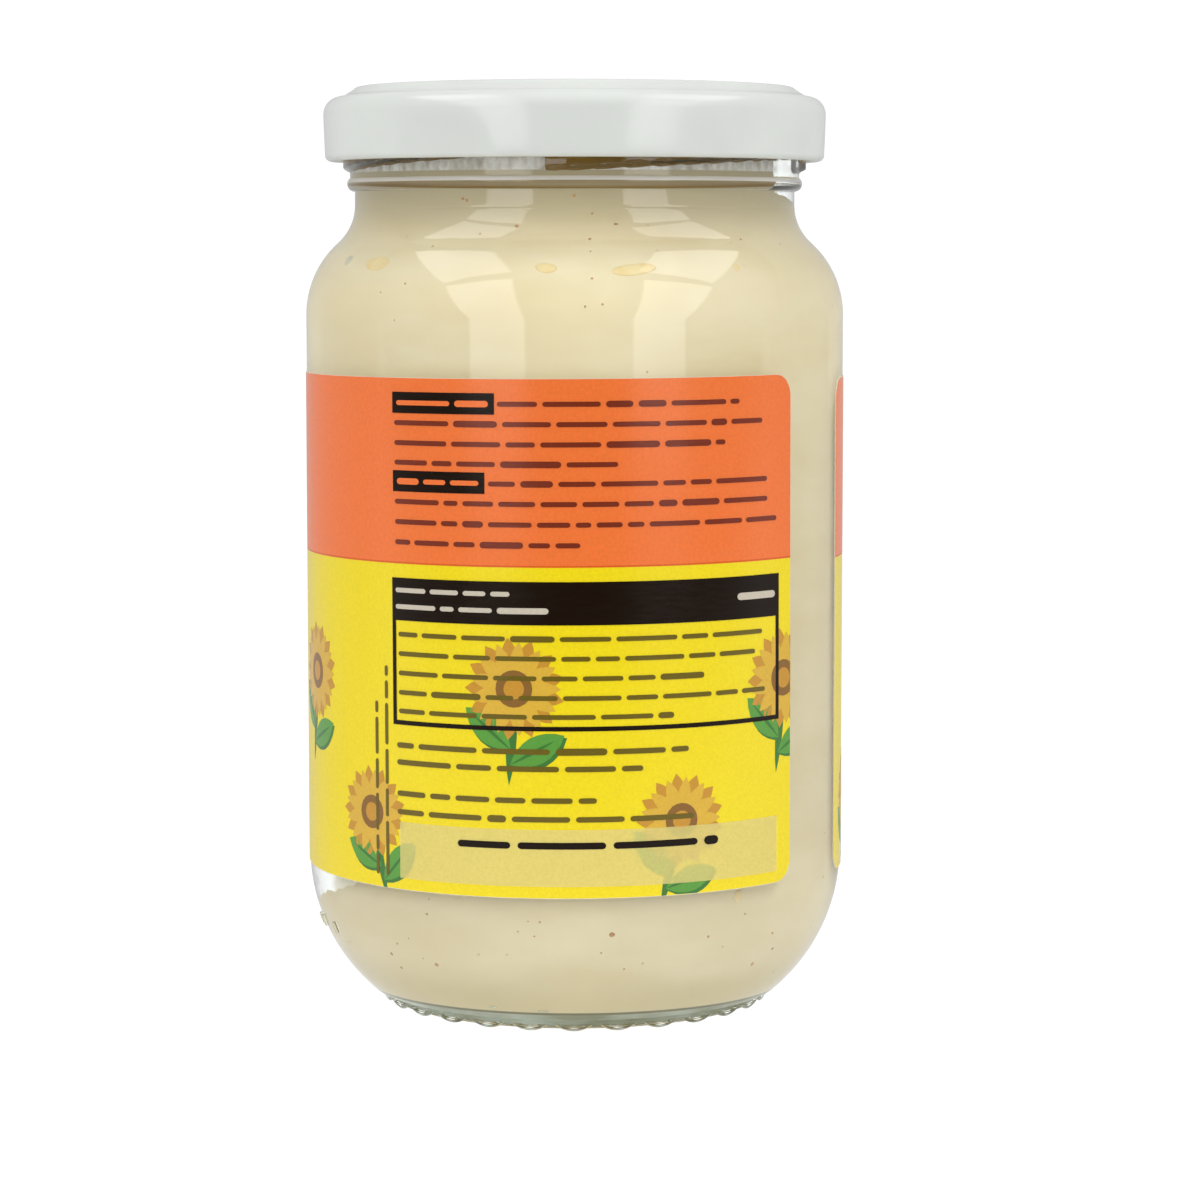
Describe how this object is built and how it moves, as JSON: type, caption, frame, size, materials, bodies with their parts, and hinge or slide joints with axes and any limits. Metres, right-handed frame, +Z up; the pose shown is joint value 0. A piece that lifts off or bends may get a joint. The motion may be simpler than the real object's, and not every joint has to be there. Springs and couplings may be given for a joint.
{
  "type": "mayonnaise jar",
  "caption": "Filled round glass jar of mayonnaise with a rounded heel, sloping shoulder, threaded neck, white metal lug lid and a wrap-round paper label.",
  "frame": {"origin": "middle of the jar's base, on the plane that it stands on", "axes": "+Z up along the jar's axis, -Y towards the shown side of the label, +X to the right of someone who looks at that side"},
  "size_m": [0.0756, 0.0756, 0.1277],
  "materials": {
    "glass": "clear flint glass with a faint green cast, fire-polished",
    "mayonnaise": "smooth cream-coloured emulsion with sparse brown specks",
    "lid_lacquer": "glossy white lacquer on tinplate",
    "label_paper": "semi-gloss printed paper, orange over yellow"
  },
  "bodies": {
    "root": {"glass_jar": "glass", "mayonnaise": "mayonnaise", "lid": "lid_lacquer", "label": "label_paper"}
  },
  "joints": []
}
